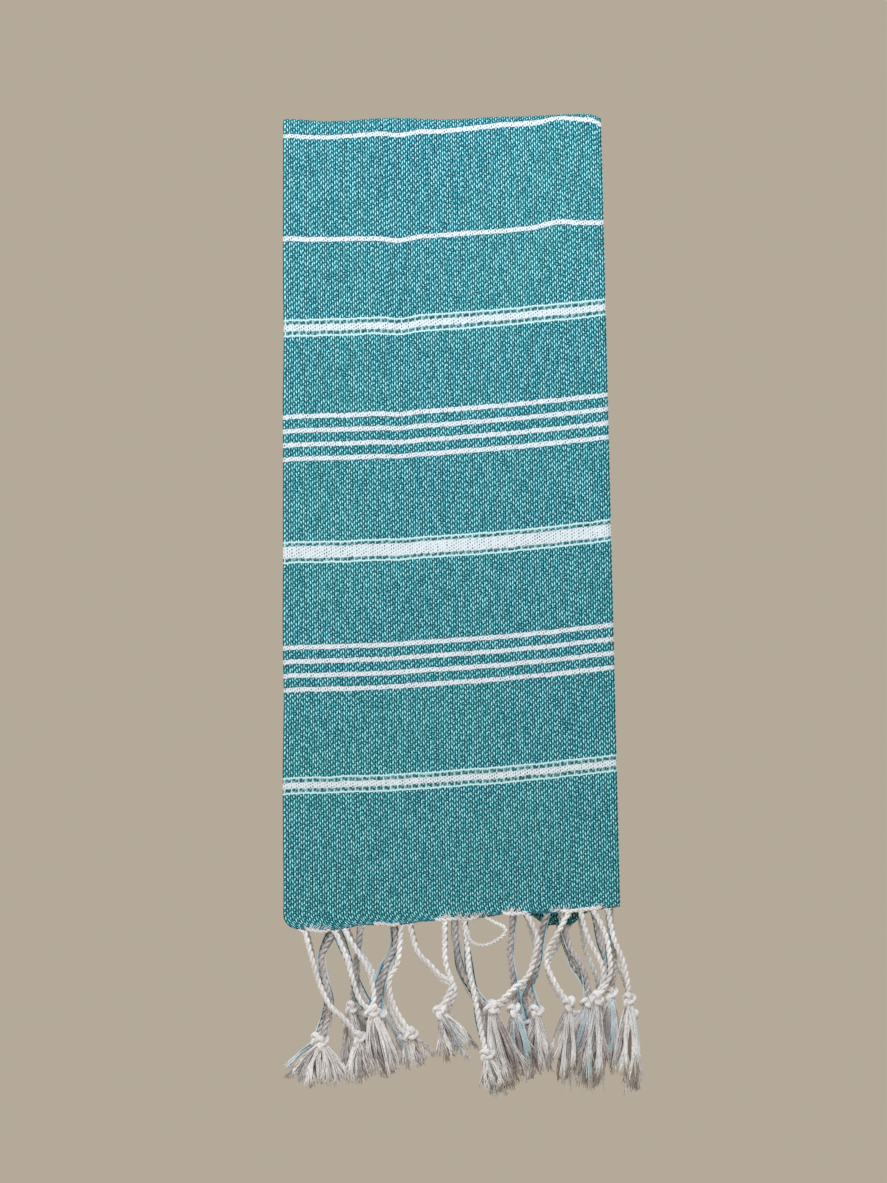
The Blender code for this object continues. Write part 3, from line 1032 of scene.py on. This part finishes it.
# %% Put a tassel together
# The finishes of a brush's locks and their shares, and the dyed yarns beside each kind of cord. The grey
# locks are painted shade: darker yarns that stand for the shadow between the locks.
LOCKS = {
    "outer": ((UNDYED, SHADED_GREY, PALE_BLUE), (0.55, 0.40, 0.05)),
    "inner": ((UNDYED, SHADED_GREY, PALE_BLUE), (0.45, 0.43, 0.12)),
}
DYED = {
    "outer": [(), (), (TEAL,)],
    "inner": [(TEAL, SKY, PALE_BLUE), (TEAL, PALE_BLUE), (SKY, PALE_BLUE)],
}


def build_tassel(side, layer, number, route):
    """One whole tassel, riding on its bunch."""
    name = f"{side}_{layer}_tassel_{number}"
    strands = new_tubes(f"{name}_strands", 2)
    yarns = new_tubes(f"{name}_yarns", 1)
    lean = 0.5 * rng.uniform(-1, 1)
    sway = 0 if side == "front" else REAR_SWAY[number % len(REAR_SWAY)]
    knot, tip = swayed([route["knot"], route["tip"]], sway)
    for points in route["cords"]:
        path = cord_route(side, layer, swayed([*points, route["knot"]], sway), lean)
        # Inner cords hang behind the outer ones and take the grey finish, as painted shade.
        add_cord(strands, path, SHADED_GREY if layer == "inner" else UNDYED)
        add_gather(yarns, side, path)
    add_dyed_yarns(yarns, side, path, DYED[layer][number % 3])
    row_y = ROW_Y[side, layer] + lean * MM
    knot_x, knot_z = at_hem(side, *knot)
    tip_x, tip_z = at_hem(side, *tip)
    centre, tip = np.array((knot_x, row_y, knot_z)), np.array((tip_x, row_y, tip_z))
    add_knot(strands, centre, KNOT_SIZE)
    add_brush(yarns, centre, tip, route["half"] * MM, BRUSH_DEPTH, LOCKS[layer])
    tassel = as_mesh(f"{name}_cotton", [strands, yarns])
    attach(tassel, BUNCHES[name])
    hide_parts(name)
    return tassel


print("inner cords are", COTTONS[SHADED_GREY].name, "and outer ones", COTTONS[UNDYED].name)

# %% [markdown]
# ## The fringe
# Each leaf carries an outer row of nine tassels and an inner row of eight.

# %% Build the fringe
tassels = [
    build_tassel(side, layer, number, route)
    for side in SIDES
    for layer in LAYERS
    for number, route in enumerate(ROUTES[layer], start=1)
]
print("fringe has", sum(len(tassel.data.polygons) for tassel in tassels), "faces")

# %% [markdown]
# ## The hem's end yarn
# Where the weaving stops, a thin teal end yarn closes each hem. White yarn hangs loose beside it in a few
# stretches of each outer hem. Short fibres stand out of them over the last rows of the cloth, most
# where the yarn is loose.

# %% Hem yarns
LOOSE = {
    "front": [(-85, -70), (-43, -27), (-5, 22), (37, 52), (73, 98)],
    "rear": [(-80, -60), (-22, -4), (20, 42), (84, 103)],
}
FUZZ = {
    "front": [(-87, -74), (-4, 26), (36, 46), (66, 78), (90, 98)],
    "rear": [(-70, -40), (62, 80)],
}
END_YARN, LOOSE_YARN, LOOP_STRAND = 0.28 * MM, 0.78 * MM, 0.72 * MM
FUZZ_PER_MM = 2.4
HEM_FIBRES = 90


def hem_point(side, layer, x, down):
    """A point just outside a layer's hem."""
    y = LAYER_Y[side, layer] + OUTWARD[side] * (0.8 if layer == "outer" else -0.3) * MM
    return x, y, hem_line(side, x) - down


def add_hem_run(yarns, side, layer, start, end, radius, loose, finish):
    """Two strands that run loosely along a hem."""
    places = np.linspace(start, end, max(4, round((end - start) / (5 * MM))))
    points = []
    for number, x in enumerate(places):
        sag = loose * rng.uniform(-0.5, 1.0) * MM if 0 < number < len(places) - 1 else -0.2 * MM
        points.append(hem_point(side, layer, x, sag))
    for path in twisted(smooth_route(points, 0.9 * MM), 0.8 * radius, 6.5 * MM):
        add_tube(yarns, path, radius, finish)


def add_fibre(yarns, side, layer, x, reach, lean, finish):
    """A short fibre that stands out of the hem."""
    root = np.array(hem_point(side, layer, x, 0.3 * MM))
    out = OUTWARD[side] * rng.uniform(0.4, 1.2) * MM
    tip = root + np.array((reach * math.sin(lean), out, reach * math.cos(lean)))
    middle = (root + tip) / 2 + np.array((rng.uniform(-0.6, 0.6) * MM, 0.4 * out, 0))
    add_tube(yarns, smooth_route([root, middle, tip], 0.9 * MM), 0.15 * MM, finish)


def add_stray_loop(yarns):
    """A thin cord that has come loose from the front hem and hangs as a small open loop."""
    y = ROW_Y["front", "outer"] - 1.2 * MM
    points = [(26, 1), (33, 5), (38, 8), (38, 12), (34, 15), (27, 18), (20, 17), (16, 13), (15, 8)]
    route = [(x * MM, y, hem_z("front", x * MM) - down * MM) for x, down in points]
    for path in twisted(smooth_route(route, 0.6 * MM), 0.6 * MM, 5.0 * MM):
        add_tube(yarns, path, LOOP_STRAND, UNDYED)


print("loose stretches of hem yarn:", sum(len(places) for places in LOOSE.values()))

# %% [markdown]
# ## Building the hems
# Each of the four hems is one mesh that rides on its leaf.


# %% Build the hems
def build_hem(side, layer):
    """The end yarns along one layer's hem, with their fibres."""
    start, end = HEM[side][0][0] + CORNER_RADIUS, HEM[side][1][0] - 1 * MM
    yarns = new_tubes(f"{side}_{layer}_hem", 1)
    add_hem_run(yarns, side, layer, start, end, END_YARN, 0.4, TEAL)
    if layer == "outer":
        for first, last in LOOSE[side]:
            add_hem_run(yarns, side, layer, first * MM, last * MM, LOOSE_YARN, 1.0, UNDYED)
        for first, last in FUZZ[side]:
            for _ in range(round((last - first) * FUZZ_PER_MM)):
                x, reach, lean = rng.uniform(first, last) * MM, rng.uniform(2, 5) * MM, rng.gauss(0.5, 0.4)
                add_fibre(yarns, side, layer, x, reach, lean, UNDYED)
    for number in range(HEM_FIBRES):
        x, reach, lean = rng.uniform(start, end), rng.uniform(1, 2.5) * MM, rng.uniform(-1.3, 1.3)
        add_fibre(yarns, side, layer, x, reach, lean, UNDYED if number % 4 == 0 else TEAL)
    if (side, layer) == ("front", "outer"):
        add_stray_loop(yarns)
    hem = as_mesh(f"{side}_{layer}_hem_cotton", [yarns])
    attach(hem, f"{side}_half")
    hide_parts(f"{side}_{layer}_hem_yarn")
    return hem


hems = [build_hem(side, layer) for side in SIDES for layer in LAYERS]
print("hems have", sum(len(hem.data.polygons) for hem in hems), "faces")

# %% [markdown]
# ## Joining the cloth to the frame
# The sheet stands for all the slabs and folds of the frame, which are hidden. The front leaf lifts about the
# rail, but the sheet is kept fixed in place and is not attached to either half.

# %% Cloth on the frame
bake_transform(cloth)
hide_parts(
    "top_fold_inner",
    "top_fold_outer",
    *[f"{side}_{layer}_panel" for side in SIDES for layer in LAYERS],
    *[f"{side}_side_fold" for side in SIDES],
)
print("the sheet holds", len(tassels), "tassels and", len(hems), "hem yarns")

# %% [markdown]
# ## Floor and light
# A plain pale floor lies well below the fringe. A soft key lamp above and in front lights the top of the
# towel more than its hem, a weak one from the left fills the fringe, and one behind lights the rear
# leaf. The pale room fills the shadows.

# %% Stage
FLOOR_Z, FLOOR_Y, FLOOR_RADIUS = -0.80, 0.03, 0.85
ROOM_LIGHT = 0.95
floor_mesh = bpy.data.meshes.new("floor")
floor_shape = bmesh.new()
bmesh.ops.create_circle(floor_shape, cap_ends=True, segments=96, radius=FLOOR_RADIUS)
floor_shape.to_mesh(floor_mesh)
floor_shape.free()
floor_mesh.transform(Matrix.Translation((0, FLOOR_Y, FLOOR_Z)))
plaster, _, plaster_shader = new_material("pale_plaster")
plaster_shader.inputs["Base Color"].default_value = colour("#CFC6B8")
plaster_shader.inputs["Roughness"].default_value = 0.9
floor_mesh.materials.append(plaster)
floor = bpy.data.objects.new("floor", floor_mesh)
bpy.context.collection.objects.link(floor)

room = bpy.data.worlds.new("pale room")
room.use_nodes = True
fill(room.node_tree, room.node_tree.nodes["Background"], {0: colour("#B9AE9D"), 1: ROOM_LIGHT})
bpy.context.scene.world = room


def add_lamp(name, place, target, size, power, tone):
    """A soft square lamp that points at a target."""
    lamp = bpy.data.objects.new(name, bpy.data.lights.new(name, "AREA"))
    lamp.data.size = size
    lamp.data.energy = power
    lamp.data.color = colour(tone)[:3]
    lamp.location = place
    lamp.rotation_euler = (Vector(target) - Vector(place)).to_track_quat("-Z", "Y").to_euler()
    lamp.visible_camera = False
    bpy.context.collection.objects.link(lamp)


add_lamp("key", (0.08, -0.88, 0.46), (0, 0, -0.10), 0.35, 9.7, "#E0EEFF")
add_lamp("fill", (-0.62, -0.75, -0.35), (0, 0, -0.45), 0.40, 1.6, "#EEF4FF")
add_lamp("rear", (-0.6, 1.1, 0.4), (0, 0, -0.3), 0.8, 9.0, "#FFFFFF")
